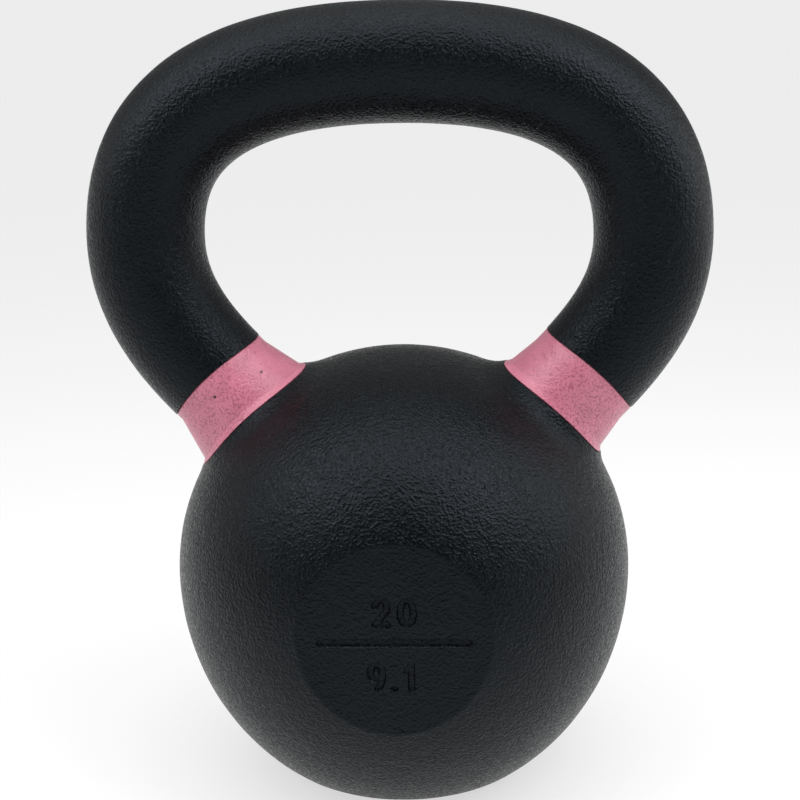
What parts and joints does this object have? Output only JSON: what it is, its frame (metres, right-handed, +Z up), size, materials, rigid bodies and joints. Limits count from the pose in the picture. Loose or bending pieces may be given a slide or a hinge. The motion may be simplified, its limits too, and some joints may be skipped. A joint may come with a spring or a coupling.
{
  "type": "kettlebell",
  "caption": "Cast-iron kettlebell with a round ball, flat base, wide closed handle, powder-coated finish and a painted colour band round each horn.",
  "frame": {"origin": "centre of the flat base, on the surface that the kettlebell stands on", "axes": "+Z up from the base to the handle, X along the handle's bar, -Y out of the marked front face"},
  "size_m": [0.1672, 0.1166, 0.21],
  "materials": {
    "black_powder_coat": "satin",
    "pink_band_paint": "satin"
  },
  "bodies": {
    "root": {"iron_casting": "black_powder_coat", "left_horn_band": "pink_band_paint", "right_horn_band": "pink_band_paint"}
  },
  "joints": []
}
